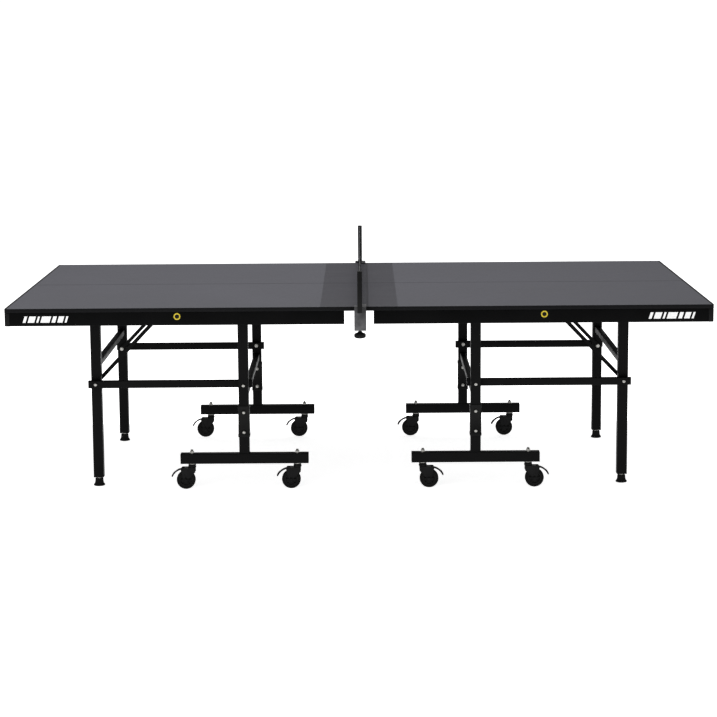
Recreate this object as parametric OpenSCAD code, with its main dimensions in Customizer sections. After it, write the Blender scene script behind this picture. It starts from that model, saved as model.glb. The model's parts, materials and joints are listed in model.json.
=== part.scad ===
// Folding ping pong table: two rolling halves, each with a tipping top,
// a wheeled T-frame, end legs that fold with the top, and a clamp-on net.
// X runs along the playing surface, Y across it, Z up from the floor.
// The right half (+X) is drawn first and the left half is its mirror image.

/* [Playing top] */
// Length of the playing surface, both halves together
table_l = 2740; // [2600:10:2800]
// Width of the playing surface
table_w = 1525; // [1500:5:1560]
// Height of the playing surface above the floor
table_h = 760; // [755:1:765]
// Thickness of the playing panel
panel_t = 16; // [14:1:18]
// Gap between the two halves at the net
centre_gap = 7; // [7:0.5:9]

/* [Apron and rails] */
// Height of the steel apron under the panel
apron_h = 52; // [45:1:56]
// Thickness of the apron tube
apron_t = 20; // [16:1:24]
// Distance from the net line to the apron's end
apron_start = 57; // [50:1:64]
// Height of the low cross rails under the panel
rail_h = 13; // [10:1:14]

/* [Frame] */
// Side of the square frame tube
tube = 40; // [36:1:42]
// Wall of the square frame tube
tube_wall = 2; // [1.5:0.5:3]
// Side of the square tube of the two crossbars
cross_tube = 25; // [20:1:30]
// Distance from the net line to the uprights
upright_x = 462; // [462:1:480]
// Distance from the centre line to the uprights
upright_y = 545; // [542:1:550]
// Distance from the net line to the end legs
leg_x = 1056; // [1040:1:1070]
// Distance from the centre line to the end legs
leg_y = 470; // [468:1:472]
// Height of the top's pivots above the floor
pivot_z = 706; // [704:1:708]
// Height of the link bar's pivots above the floor
link_z = 420; // [410:1:430]
// Angle of the diagonal stays to the floor
stay_angle = 46.3; // [44:0.1:48]

/* [Wheeled base] */
// Length of each wheeled floor bar
bar_l = 506; // [490:1:520]
// Height of the floor bar's section
bar_h = 40; // [38:1:54]
// Distance between the two casters of a floor bar
caster_pitch = 422; // [400:1:430]
// Diameter of the caster wheels
wheel_d = 75; // [70:1:76]
// Trail of the wheel behind its swivel
trail = 25; // [22:1:27]

/* [Net] */
// Height of the net above the playing surface
net_h = 152.5; // [150:0.5:155]
// Distance from the centre line to the middle of each net post
post_y = 915; // [900:1:920]
// Width of the net clamp
clamp_w = 46; // [42:1:48]

/* [Hidden] */

$fn = 48;
left = -1;
right = 1;
near = -1;
far = 1;
inner = -1;
outer = 1;
fit = 0.05;        // radial clearance of a pin in its hole
weld = 0.1;        // joint line between two welded members
play = 3;          // side play between a tube and its hinge ear
gap = 0.3;         // space between two faces that turn past each other
panel_z = table_h - panel_t;
half_l = table_l / 2;
end_x = centre_gap / 2;
frame_y = table_w / 2 - 1;
frame_x = half_l - 1;
rail_xs = [250, leg_x - 236, leg_x + 124];
thin_wall = 1.5;   // wall of the apron, rail and link tubes
pin_r = 5;
bolt_r = 4;
head_r = 8;
head_h = 5;
plate = 3;
ear_r = 18;
black = [0.06, 0.06, 0.065];
zinc = [0.72, 0.72, 0.70];

// link bars run between the leg's outer face and the upright's inner face
link_h = 30;
link_t = 20;
link_y = (leg_y + upright_y) / 2 - 0.5;
link_end = 27;

// floor bar, stem and collar of the T-frame
bar_z = 104;
bar_top = bar_z + bar_h;
stem_top = 270;
collar_low = 212;
collar_high = 338;
collar_t = 3;
base_cross_z = 368;
bolt_zs = [232, 312];
washer_h = 4;      // thrust washer between the floor bar and the caster

// end legs and their levelling feet
leg_low = 36;
tube_top = pivot_z + 24;
leg_cross_z = 492.5;
foot_r = 22.5;
stud_top = 56;

// diagonal stays and the tracks that guide their upper ends
stay_w = 15;
stay_t = 6;
stay_y = 434;
stay_end_z = 731;
stay_l = (stay_end_z - link_z) / sin(stay_angle);
track_x = [325, 775];
track_w = 22;
track_h = 24;
track_wall = 2;

// clamp, its screw and the net's folding axis
net_x = 3.5;
net_z = 771;
clamp_in_x = 1;
clamp_hi_x = clamp_w / 2 + 5;
clamp_lo_x = clamp_hi_x - clamp_w;
clamp_low = 672;
clamp_top = table_h + 5;
screw_y = table_w / 2 + 24.5;
web_y = screw_y + 13;
web_t = 6;
knob_r = 22.5;
net_t = 3;
boss_r = 9;
boss_l = 22;
arm_y = table_w / 2 - 40;   // inner end of the clamp's arm on the playing surface
post_half_y = 12;
post_low = table_h - 3;
knob_low = 641;

module side(s) { mirror([s < 0 ? 1 : 0, 0, 0]) children(); }
module both_y() {
    for (e = [near, far]) mirror([0, e < 0 ? 1 : 0, 0]) children();
}
// cylinder along Y from y0 to y1 at (x, z)
module pin_y(x, z, y0, y1, r) {
    translate([x, y0, z]) rotate([-90, 0, 0]) cylinder(r = r, h = y1 - y0);
}
// box given by its two corners
module block(low, high) { translate(low) cube(high - low); }
// square or rectangular tube along X, Y or Z, given by its two corners
module box_tube(low, high, wall, along) {
    inset = [for (i = [0:2]) i == along ? -1 : wall];
    difference() {
        block(low, high);
        block(low + inset, high - inset);
    }
}

/* ---- playing top ---- */
module panel(s) {
    corner = 6;
    color([0.27, 0.27, 0.30]) side(s) translate([0, 0, panel_z]) linear_extrude(panel_t) {
        translate([end_x, -table_w / 2]) square([half_l - corner - end_x, table_w]);
        translate([half_l - corner, -table_w / 2 + corner]) square([corner, table_w - 2 * corner]);
        for (e = [near, far]) translate([half_l - corner, e * (table_w / 2 - corner)]) circle(corner);
    }
}

module apron_frame(s) {
    low = panel_z - apron_h;
    corner_x = frame_x - apron_t;
    color(black) side(s) {
        both_y() box_tube([apron_start + plate, frame_y - apron_t, low],
                          [corner_x - weld, frame_y, panel_z], thin_wall, 0);
        box_tube([corner_x, -frame_y, low], [frame_x, frame_y, panel_z], thin_wall, 1);
    }
}

// plastic plugs that close the apron tubes: net ends and outer corners
module apron_plugs(s) {
    low = panel_z - apron_h;
    slack = thin_wall + 0.2;
    depth = 25;
    color(black) side(s) both_y() {
        block([apron_start, frame_y - apron_t, low], [apron_start + plate - weld, frame_y, panel_z]);
        block([apron_start + plate - weld, frame_y - apron_t + slack, low + slack],
              [apron_start + depth, frame_y - slack, panel_z - slack]);
        block([frame_x - apron_t + slack, frame_y - depth, low + slack],
              [frame_x - slack, frame_y + 0.5, panel_z - slack]);
    }
}

// one flat bar beside the net and three low tubes
module cross_rails(s) {
    rail_w = 40;
    flat_h = 6;
    end_y = frame_y - apron_t - weld;
    color(black) side(s) {
        block([apron_start + 5, -end_y, panel_z - flat_h], [apron_start + 5 + rail_w, end_y, panel_z]);
        for (x = rail_xs)
            box_tube([x, -end_y, panel_z - rail_h], [x + rail_w, end_y, panel_z], thin_wall, 1);
    }
}

// hinge ear with a round lower end, standing across Y
module ear(x, y) {
    pin_y(x, pivot_z, y, y + plate, ear_r);
    block([x - ear_r, y, pivot_z], [x + ear_r, y + plate, panel_z - plate]);
}

// U-bracket over a tube at (x, y) with its pivot pin
module hinge_bracket(x, y) {
    inside = y - tube / 2 - play - plate;
    outside = y + tube / 2 + play;
    block([x - 38, inside - 4, panel_z - plate], [x + 38, outside + plate + 4, panel_z]);
    ear(x, inside);
    ear(x, outside);
    pin_y(x, pivot_z, inside - 0.5, outside + plate + 3, pin_r);
    pin_y(x, pivot_z, outside + plate, outside + plate + 3, head_r);
}

// channel, open downwards, in which the stay's upper pin slides
module stay_track() {
    difference() {
        block([track_x[0], stay_y - track_w / 2, panel_z - track_h],
              [track_x[1], stay_y + track_w / 2, panel_z]);
        block([track_x[0] - 1, stay_y - track_w / 2 + track_wall, panel_z - track_h - 1],
              [track_x[1] + 1, stay_y + track_w / 2 - track_wall, panel_z - track_wall]);
    }
}

module hinge_brackets(s) {
    color(black) side(s) both_y() {
        hinge_bracket(upright_x, upright_y);
        hinge_bracket(leg_x, leg_y);
        stay_track();
    }
}

/* ---- wheeled T-frames ---- */
module t_bases(s) {
    color(black) side(s) both_y() {
        difference() {
            box_tube([upright_x - bar_l / 2, upright_y - tube / 2, bar_z],
                     [upright_x + bar_l / 2, upright_y + tube / 2, bar_top], tube_wall, 0);
            for (e = [inner, outer])
                translate([upright_x + e * caster_pitch / 2, upright_y, bar_z - 1])
                    cylinder(r = pin_r + fit, h = bar_h + 2);
        }
        difference() {
            box_tube([upright_x - tube / 2, upright_y - tube / 2, bar_top + weld],
                     [upright_x + tube / 2, upright_y + tube / 2, stem_top], tube_wall, 2);
            pin_y(upright_x, bolt_zs[0], upright_y - tube, upright_y + tube, bolt_r + fit);
        }
    }
}

module uprights(s) {
    inside = upright_y - tube / 2;
    color(black) side(s) {
        both_y() difference() {
            box_tube([upright_x - tube / 2, inside, stem_top + weld],
                     [upright_x + tube / 2, inside + tube, tube_top], tube_wall, 2);
            pin_y(upright_x, bolt_zs[1], inside - 1, inside + tube + 1, bolt_r + fit);
            pin_y(upright_x, link_z, inside - 1, inside + tube + 1, pin_r + fit);
            pin_y(upright_x, pivot_z, inside - 1, inside + tube + 1, pin_r + fit);
        }
        box_tube([upright_x - cross_tube / 2, -inside + weld, base_cross_z - cross_tube / 2],
                 [upright_x + cross_tube / 2, inside - weld, base_cross_z + cross_tube / 2], tube_wall, 1);
    }
}

// plastic collars over the stem joints, end plugs of the floor bars, upright caps
module base_caps(s) {
    slack = tube_wall + 0.1;
    hole = tube / 2 + 0.1;
    outside = hole + collar_t;
    color([0.09, 0.09, 0.095]) side(s) both_y() {
        difference() {
            block([upright_x - outside, upright_y - outside, collar_low],
                  [upright_x + outside, upright_y + outside, collar_high]);
            block([upright_x - hole, upright_y - hole, collar_low - 1],
                  [upright_x + hole, upright_y + hole, collar_high + 1]);
            for (z = bolt_zs)
                pin_y(upright_x, z, upright_y - tube, upright_y + tube, bolt_r + fit);
        }
        for (e = [inner, outer]) translate([upright_x, upright_y, bar_z]) mirror([e < 0 ? 1 : 0, 0, 0]) {
            block([bar_l / 2 + 0.05, -tube / 2, 0], [bar_l / 2 + 3, tube / 2, bar_h]);
            block([bar_l / 2 - 18, -tube / 2 + slack, slack],
                  [bar_l / 2 + 0.05, tube / 2 - slack, bar_h - slack]);
        }
    }
}

module base_hardware(s) {
    face = upright_y + tube / 2;
    collar_face = face + 0.1 + collar_t;
    color(zinc) side(s) both_y() {
        // link pivot bolts, with the shoulder that spaces the bar from the upright
        pin_y(upright_x, link_z, link_y - link_t / 2 - 7, face + head_h, pin_r);
        pin_y(upright_x, link_z, face + fit, face + head_h, head_r);
        pin_y(upright_x, link_z, link_y + link_t / 2 + 0.2, upright_y - tube / 2 - fit, pin_r + 4);
        pin_y(upright_x, link_z, link_y - link_t / 2 - 7, link_y - link_t / 2 - 0.3, head_r);
        // bolts through the collars
        for (z = bolt_zs) {
            pin_y(upright_x, z, upright_y - tube / 2 - 12, collar_face + head_h, bolt_r);
            pin_y(upright_x, z, collar_face + fit, collar_face + head_h, head_r - 0.5);
            pin_y(upright_x, z, upright_y - tube / 2 - 9.5, upright_y - tube / 2 - 3.3, head_r - 1);
        }
        // caster studs, with the head under the fork, the thrust washer and the top nut
        for (e = [inner, outer]) translate([upright_x + e * caster_pitch / 2, upright_y, 0]) {
            translate([0, 0, crown_z - 1]) cylinder(r = pin_r, h = bar_top + 15 - crown_z + 1);
            translate([0, 0, crown_z - 3.6]) cylinder(r = head_r, h = 3.3);
            translate([0, 0, bar_z - washer_h]) cylinder(r = 13, h = washer_h - fit);
            translate([0, 0, bar_top + fit]) cylinder(r = 11, h = 2);
            translate([0, 0, bar_top + 1]) cylinder(r = 9, h = 9, $fn = 6);
        }
    }
}

/* ---- link bars, legs and stays ---- */
module link_bars(s) {
    low = upright_x - link_end - 5;
    high = leg_x + link_end;
    y0 = link_y - link_t / 2;
    color(black) side(s) both_y() {
        difference() {
            box_tube([low, y0, link_z - link_h / 2], [high, y0 + link_t, link_z + link_h / 2], thin_wall, 0);
            for (x = [upright_x, leg_x]) pin_y(x, link_z, y0 - 1, y0 + link_t + 1, pin_r + fit);
        }
        for (x = [low - 2, high + 0.05])
            block([x, y0, link_z - link_h / 2], [x + 1.95, y0 + link_t, link_z + link_h / 2]);
    }
}

module leg_frame(s) {
    inside = leg_y - tube / 2;
    color(black) side(s) {
        both_y() {
            difference() {
                box_tube([leg_x - tube / 2, inside, leg_low + 4],
                         [leg_x + tube / 2, inside + tube, tube_top], tube_wall, 2);
                for (z = [link_z, pivot_z]) pin_y(leg_x, z, inside - 1, inside + tube + 1, pin_r + fit);
            }
            difference() {
                block([leg_x - tube / 2, inside, leg_low], [leg_x + tube / 2, inside + tube, leg_low + 3.9]);
                translate([leg_x, leg_y, leg_low - 1]) cylinder(r = pin_r + fit, h = 6);
            }
        }
        box_tube([leg_x - cross_tube / 2, -inside + weld, leg_cross_z - cross_tube / 2],
                 [leg_x + cross_tube / 2, inside - weld, leg_cross_z + cross_tube / 2], tube_wall, 1);
    }
}

// pivot bolts through link bar, leg and stay, with the shoulders that space them
module leg_bolts(s) {
    bar_in = link_y - link_t / 2;
    bar_out = link_y + link_t / 2;
    leg_in = leg_y - tube / 2;
    stay_in = stay_y - stay_t / 2;
    color(zinc) side(s) both_y() {
        pin_y(leg_x, link_z, stay_in - 7, bar_out + head_h, pin_r);
        pin_y(leg_x, link_z, bar_out + 0.3, bar_out + head_h, head_r);
        pin_y(leg_x, link_z, leg_y + tube / 2 + fit, bar_in - 0.2, pin_r + 4);
        pin_y(leg_x, link_z, stay_in + stay_t + 0.2, leg_in - fit, pin_r + 4);
        pin_y(leg_x, link_z, stay_in - 7, stay_in - 0.3, head_r);
    }
}

module stays(s) {
    color(black) side(s) both_y()
        translate([leg_x, stay_y, link_z]) rotate([0, stay_angle, 0]) {
            difference() {
                union() {
                    block([-stay_l, -stay_t / 2, -stay_w / 2], [0, stay_t / 2, stay_w / 2]);
                    pin_y(-stay_l, 0, -stay_t / 2, stay_t / 2, stay_w / 2);
                    pin_y(0, 0, -stay_t / 2, stay_t / 2, 11);
                    pin_y(-stay_l, 0, -8, 8, 4);
                }
                pin_y(0, 0, -stay_t, stay_t, pin_r + fit);
            }
        }
}

// levelling foot: moulded cone on a threaded stud
module foot(s, e) {
    color([0.08, 0.08, 0.085]) translate([s * leg_x, e * leg_y, 0]) rotate_extrude() polygon([
        [0, 0], [foot_r - 1, 0], [foot_r, 1.5], [foot_r, 5], [foot_r - 4, 10], [16, 24],
        [16, leg_low - 6], [8, leg_low - 6], [8, leg_low - 0.3], [pin_r, leg_low - 0.3],
        [pin_r, stud_top - 1], [pin_r - 1, stud_top], [0, stud_top]]);
}

/* ---- casters ---- */
wheel_r = wheel_d / 2;
wheel_w = 24;
fork_in = 14;      // half the gap between the fork's cheeks
fork_t = 2.5;
fork_top = 87;
crown_z = 83;
axle_r = 4;
brake_x = trail + 15;
brake_z = 80;
brake_pin_r = 2.5;
lever_drop = 37;   // slope of the brake lever

// side outline of a fork cheek: round at the axle, up to the crown and the brake pivot
module cheek() {
    rotate([90, 0, 0]) linear_extrude(fork_t) {
        translate([trail, wheel_r]) circle(11);
        polygon([[trail - 10.5, wheel_r + 4], [-13, crown_z - 14], [-13, fork_top],
                 [brake_x, fork_top], [brake_x + 5, brake_z + 3], [brake_x + 5, brake_z - 3],
                 [trail + 10.5, wheel_r + 4]]);
    }
}

// places a caster part: side of the table, row, place on the bar and way the wheel trails
module caster_at(s, e, k, way) {
    translate([s * (upright_x + k * caster_pitch / 2), e * upright_y, 0])
        mirror([way < 0 ? 1 : 0, 0, 0]) children();
}

module fork(s, e, k, way) {
    hub_r = 14;
    color([0.10, 0.10, 0.105]) caster_at(s, e, k, way) {
        difference() {
            union() {
                translate([0, -fork_in, 0]) cheek();
                translate([0, fork_in + fork_t, 0]) cheek();
                block([-13, -fork_in - fork_t, crown_z], [brake_x - 9, fork_in + fork_t, fork_top]);
                translate([0, 0, crown_z]) cylinder(r = hub_r, h = bar_z - washer_h - gap - crown_z);
                for (y = [-1, 1]) mirror([0, y < 0 ? 1 : 0, 0])
                    pin_y(trail, wheel_r, fork_in - gap, fork_in + fork_t + 3, 7);
                pin_y(trail, wheel_r, -fork_in - 4, fork_in + 4, axle_r);
            }
            translate([0, 0, crown_z - 10]) cylinder(r = pin_r + fit, h = 40);
            pin_y(brake_x, brake_z, -30, 30, brake_pin_r + fit);
        }
    }
}

module wheel(s, e, k, way) {
    edge = 6;
    color([0.05, 0.05, 0.05]) caster_at(s, e, k, way)
        translate([trail, 0, wheel_r]) rotate([90, 0, 0]) rotate_extrude($fn = 72) difference() {
            union() {
                translate([0, -wheel_w / 2 + 1]) square([wheel_r - edge, wheel_w - 2]);
                translate([0, -wheel_w / 2 + edge]) square([wheel_r, wheel_w - 2 * edge]);
                for (y = [-1, 1]) translate([wheel_r - edge, y * (wheel_w / 2 - edge)]) circle(edge);
                translate([0, -fork_in + 2 * gap]) square([12, 2 * (fork_in - 2 * gap)]);
            }
            translate([-50, -50]) square([50 + axle_r + fit, 100]);
        }
}

module brake(s, e, k, way) {
    lever_l = 50;
    color([0.08, 0.08, 0.085]) caster_at(s, e, k, way) {
        pin_y(brake_x, brake_z, -fork_in - fork_t - 1, fork_in + fork_t + 1, brake_pin_r);
        translate([brake_x, 0, brake_z]) rotate([0, lever_drop, 0])
            block([-2, -11, -1.2], [lever_l, 11, 1.2]);
        translate([brake_x, 0, brake_z]) rotate([0, lever_drop, 0])
            block([lever_l - 14, -13, -1.2], [lever_l, 13, 3]);
    }
}

/* ---- net ---- */
// its lower edge steps up over the clamp arms, and again over the bosses
module net() {
    top = table_h + net_h;
    color([0.10, 0.10, 0.12]) translate([net_x - net_t / 2, 0, 0]) rotate([90, 0, 90])
        linear_extrude(net_t) {
            for (step = [[arm_y - 1.5, table_h + 2], [screw_y - boss_l / 2 - 1.5, clamp_top + 1],
                         [post_y - post_half_y - weld, net_z + boss_r + 1]])
                translate([-step[0], step[1]]) square([2 * step[0], top - step[1]]);
        }
}

// posts outside the side lines, each on an arm that turns in its bracket's boss
module net_posts() {
    post_x = 9;
    round_r = 4;
    top = table_h + net_h + 3;
    color([0.09, 0.09, 0.095]) both_y() {
        pin_y(net_x, net_z, screw_y - boss_l / 2 - 1, post_y - post_half_y + 1, pin_r);
        translate([net_x, post_y, post_low]) linear_extrude(top - post_low) {
            square([2 * (post_x - round_r), 2 * post_half_y], center = true);
            square([2 * post_x, 2 * (post_half_y - round_r)], center = true);
            for (i = [-1, 1], j = [-1, 1])
                translate([i * (post_x - round_r), j * (post_half_y - round_r)]) circle(round_r);
        }
    }
}

// C-shaped clamp frames: arm on the playing surface, web outside the edge, screw flange
module net_brackets() {
    edge = table_w / 2 + 1.5;
    out = web_y + web_t;
    color([0.12, 0.12, 0.13]) both_y() difference() {
        union() {
            block([clamp_in_x, arm_y, table_h], [clamp_hi_x, edge + 1, clamp_top]);
            block([clamp_lo_x, edge, table_h], [clamp_hi_x, out, clamp_top]);
            block([clamp_lo_x, web_y, clamp_low], [clamp_hi_x, out, clamp_top]);
            block([clamp_lo_x, edge + 4, clamp_low], [clamp_hi_x, out, clamp_low + 6]);
            pin_y(net_x, net_z, screw_y - boss_l / 2, screw_y + boss_l / 2, boss_r);
            block([net_x - boss_r, screw_y - boss_l / 2, clamp_top - 1],
                  [net_x + boss_r, screw_y + boss_l / 2, net_z]);
        }
        pin_y(net_x, net_z, screw_y - boss_l, screw_y + boss_l, pin_r + fit);
        translate([net_x, screw_y, clamp_low - 1]) cylinder(r = bolt_r + fit, h = 8);
    }
}

// clamp screw with its round knob and the jaw that grips the panel from below
module net_jaw(e) {
    knob_h = 18;
    neck_r = 8;
    neck_top = knob_low + 27;
    jaw_h = 9;
    screw_top = panel_z - jaw_h + 1;
    color([0.08, 0.08, 0.085]) mirror([0, e < 0 ? 1 : 0, 0]) {
        translate([net_x, screw_y, 0]) rotate_extrude() polygon([
            [0, knob_low], [knob_r - 8.5, knob_low], [knob_r - 2, knob_low + 3], [knob_r, knob_low + 7],
            [knob_r, knob_low + knob_h - 4], [knob_r - 2, knob_low + knob_h],
            [neck_r + 1, knob_low + knob_h + 4], [neck_r, neck_top], [bolt_r, neck_top],
            [bolt_r, screw_top], [0, screw_top]]);
        block([net_x - 10, screw_y - 12, panel_z - jaw_h], [clamp_hi_x, screw_y + 10, panel_z]);
        block([clamp_in_x, table_w / 2 - 30, panel_z - 6], [clamp_hi_x, screw_y, panel_z]);
    }
}

module table_half(s) {
    half = s == left ? "left_" : "right_";
    panel(s);
    apron_frame(s);
    apron_plugs(s);
    cross_rails(s);
    hinge_brackets(s);
    t_bases(s);
    uprights(s);
    base_caps(s);
    base_hardware(s);
    link_bars(s);
    leg_frame(s);
    leg_bolts(s);
    stays(s);
    for (e = [near, far]) {
        row = str(half, e == near ? "near_" : "far_");
        foot(s, e);
        for (k = [inner, outer]) caster(s, e, k, str(row, k == inner ? "inner_" : "outer_"));
    }
}

// the wheels of the right half's near row trail outwards, all others to the left
module caster(s, e, k, place) {
    way = s == right && e == near ? right : left;
    fork(s, e, k, way);
    wheel(s, e, k, way);
    brake(s, e, k, way);
}

for (s = [left, right]) table_half(s);
net();
net_posts();
net_brackets();
net_jaw(near);  // net_near_jaw
net_jaw(far);  // net_far_jaw
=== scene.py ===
"""Looks of the folding ping pong table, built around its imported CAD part. Every length is in metres."""

import json
import math

import bmesh
import bpy
from mathutils import Matrix, Vector


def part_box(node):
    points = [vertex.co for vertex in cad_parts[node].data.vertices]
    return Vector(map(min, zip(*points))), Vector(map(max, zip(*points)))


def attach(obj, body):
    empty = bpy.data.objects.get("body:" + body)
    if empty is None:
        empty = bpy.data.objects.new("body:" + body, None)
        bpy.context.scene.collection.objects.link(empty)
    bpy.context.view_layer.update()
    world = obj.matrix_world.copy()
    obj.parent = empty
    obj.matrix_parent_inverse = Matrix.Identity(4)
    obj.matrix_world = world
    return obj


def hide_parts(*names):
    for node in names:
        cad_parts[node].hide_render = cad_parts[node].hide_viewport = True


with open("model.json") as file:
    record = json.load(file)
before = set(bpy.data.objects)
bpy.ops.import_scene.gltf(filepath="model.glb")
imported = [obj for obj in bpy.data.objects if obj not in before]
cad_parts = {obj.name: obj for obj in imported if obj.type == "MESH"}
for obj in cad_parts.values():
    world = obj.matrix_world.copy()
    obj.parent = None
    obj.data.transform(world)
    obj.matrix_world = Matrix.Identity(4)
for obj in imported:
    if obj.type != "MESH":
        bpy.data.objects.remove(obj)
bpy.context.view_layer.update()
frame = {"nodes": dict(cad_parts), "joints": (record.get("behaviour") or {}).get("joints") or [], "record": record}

SIDES = {"left": -1, "right": 1}
ROWS = {"near": -1, "far": 1}
PLACES = ("inner", "outer")
UP = Vector((0, 0, 1))
HEX = "hex"
JOINTS = {j["name"]: j for j in frame["joints"]}


# ---------------------------------------------------------------- camera, light and floor
CAMERA_AT = Vector((0.0157, -8.916, 1.840))
CAMERA_LENS_MM = 107.0
CAMERA_PITCH = 0.156
CAMERA_YAW = 0.0023
CAMERA_ROLL = -0.0071


def add_camera():
    """A level camera turned by its yaw, tipped down by its pitch, then rolled about its line of sight."""
    side = Vector((math.cos(CAMERA_YAW), math.sin(CAMERA_YAW), 0))
    ahead = Vector((-math.sin(CAMERA_YAW), math.cos(CAMERA_YAW), 0))
    forward = ahead * math.cos(CAMERA_PITCH) - UP * math.sin(CAMERA_PITCH)
    up = ahead * math.sin(CAMERA_PITCH) + UP * math.cos(CAMERA_PITCH)
    right = side * math.cos(CAMERA_ROLL) + up * math.sin(CAMERA_ROLL)
    top = up * math.cos(CAMERA_ROLL) - side * math.sin(CAMERA_ROLL)
    turned = Matrix((right, top, -forward)).transposed().to_4x4()
    camera = bpy.data.objects.new("camera", bpy.data.cameras.new("camera"))
    camera.data.lens = CAMERA_LENS_MM
    camera.data.clip_end = 200
    camera.matrix_world = Matrix.Translation(CAMERA_AT) @ turned
    bpy.context.scene.collection.objects.link(camera)
    bpy.context.scene.camera = camera


def add_area_light(name, at, aim, size, watts):
    data = bpy.data.lights.new(name, "AREA")
    data.shape = "RECTANGLE"
    data.size, data.size_y = size
    data.energy = watts
    light = bpy.data.objects.new(name, data)
    light.location = at
    light.rotation_euler = (Vector(aim) - Vector(at)).to_track_quat("-Z", "Y").to_euler()
    bpy.context.scene.collection.objects.link(light)


def add_studio():
    """A white backdrop that lights the table more softly than it looks, a broad lamp overhead, a fill lamp in
    front, and a small key lamp a little to the left that casts the net's shadow beside it."""
    world = bpy.data.worlds.new("studio")
    world.use_nodes = True
    tree = world.node_tree
    seen = tree.nodes["Background"]
    seen.inputs["Color"].default_value = (1, 1, 1, 1)
    seen.inputs["Strength"].default_value = 1.05
    lit = tree.nodes.new("ShaderNodeBackground")
    lit.inputs["Strength"].default_value = 0.5
    lit.inputs["Color"].default_value = (1, 1, 1, 1)
    rays = tree.nodes.new("ShaderNodeLightPath")
    mixed = tree.nodes.new("ShaderNodeMixShader")
    for source, target in ((rays.outputs["Is Camera Ray"], 0), (lit.outputs[0], 1), (seen.outputs[0], 2)):
        tree.links.new(source, mixed.inputs[target])
    tree.links.new(mixed.outputs[0], tree.nodes["World Output"].inputs["Surface"])
    bpy.context.scene.world = world
    add_area_light("overhead", (0, 0.4, 4.4), (0, 0, 0.7), (5.0, 3.0), 90)
    add_area_light("front_fill", (-2.5, -5.5, 2.4), (0, 0, 0.4), (3.0, 2.0), 35)
    add_area_light("key", (-0.95, 0.2, 5.4), (0, 0, 0.76), (0.12, 0.12), 170)
    view = bpy.context.scene.view_settings
    view.view_transform = "Standard"
    view.gamma = 0.85


def add_floor():
    radius = 40
    bpy.ops.mesh.primitive_circle_add(vertices=96, radius=radius, fill_type="NGON", location=(0, 0, 0))
    floor = bpy.context.object
    floor.name = "floor"
    floor.data.materials.append(floor_paint())


# ---------------------------------------------------------------- materials
def new_material(name):
    """A node material, and a function that adds a node to it and sets its inputs: values or sockets."""
    made = bpy.data.materials.new(name)
    made.use_nodes = True
    tree = made.node_tree
    tree.nodes.clear()

    def add(kind, inputs=None, **settings):
        node = tree.nodes.new(kind)
        for key, value in settings.items():
            setattr(node, key, value)
        for key, value in (inputs or {}).items():
            if isinstance(value, bpy.types.NodeSocket):
                tree.links.new(value, node.inputs[key])
            else:
                node.inputs[key].default_value = value
        return node

    return made, add


def finish_material(add, shader):
    add("ShaderNodeOutputMaterial", {"Surface": shader.outputs[0]})


def place(add):
    """Coordinates that stay with the piece as it moves, in metres."""
    return add("ShaderNodeTexCoord").outputs["Object"]


def noise(add, where, scale, detail=3.0, roughness=0.55):
    inputs = {"Vector": where, "Scale": scale, "Detail": detail, "Roughness": roughness}
    return add("ShaderNodeTexNoise", inputs).outputs["Fac"]


def ramp(add, fac, low, high, start=0.3, end=0.7):
    """Takes a factor from low at start to high at end; low and high are both colours or both numbers."""
    if isinstance(low, (int, float)):
        inputs = {"Value": fac, "From Min": start, "From Max": end, "To Min": low, "To Max": high}
        return add("ShaderNodeMapRange", inputs).outputs["Result"]
    node = add("ShaderNodeValToRGB", {"Fac": fac})
    stops = node.color_ramp.elements
    stops[0].position, stops[1].position = start, end
    stops[0].color, stops[1].color = (*low, 1), (*high, 1)
    return node.outputs["Color"]


def maths(add, operation, a, b=None, c=None):
    values = {i: v for i, v in enumerate((a, b, c)) if v is not None}
    return add("ShaderNodeMath", values, operation=operation).outputs[0]


def mix_colour(add, fac, a, b):
    node = add("ShaderNodeMix", data_type="RGBA")
    for index, value in ((0, fac), (6, a), (7, b)):
        if isinstance(value, bpy.types.NodeSocket):
            node.id_data.links.new(value, node.inputs[index])
        else:
            node.inputs[index].default_value = (*value, 1) if index else value
    return node.outputs[2]


def bump(add, height, strength, distance, normal=None):
    inputs = {"Height": height, "Strength": strength, "Distance": distance}
    if normal is not None:
        inputs["Normal"] = normal
    return add("ShaderNodeBump", inputs).outputs["Normal"]


def floor_paint():
    made, add = new_material("studio_floor")
    tone = ramp(add, noise(add, place(add), 0.7), (0.80, 0.80, 0.80), (0.84, 0.84, 0.84))
    shader = add("ShaderNodeBsdfPrincipled", {"Base Color": tone, "Roughness": 0.9, "Specular IOR Level": 0.1,
                                              "Emission Color": (1, 1, 1, 1), "Emission Strength": 0.85})
    finish_material(add, shader)
    return made


def powder_coat(name, dark=0.0045, light=0.0075, smooth=0.42, rough=0.56, gloss=0.10):
    """Baked powder paint: an orange-peel skin over the steel, with patches that are a little duller."""
    made, add = new_material(name)
    where = place(add)
    peel = noise(add, where, 620, 2.0)
    grain = noise(add, where, 2600, 2.0)
    patches = noise(add, where, 9, 4.0)
    colour = ramp(add, patches, (dark, dark, dark * 1.04), (light, light, light * 1.05), 0.35, 0.68)
    normal = bump(add, peel, 0.35, 0.0004)
    normal = bump(add, grain, 0.12, 0.0002, normal)
    shader = add("ShaderNodeBsdfPrincipled", {
        "Base Color": colour, "Roughness": ramp(add, patches, smooth, rough, 0.3, 0.72),
        "Specular IOR Level": gloss, "Normal": normal})
    finish_material(add, shader)
    return made


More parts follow.
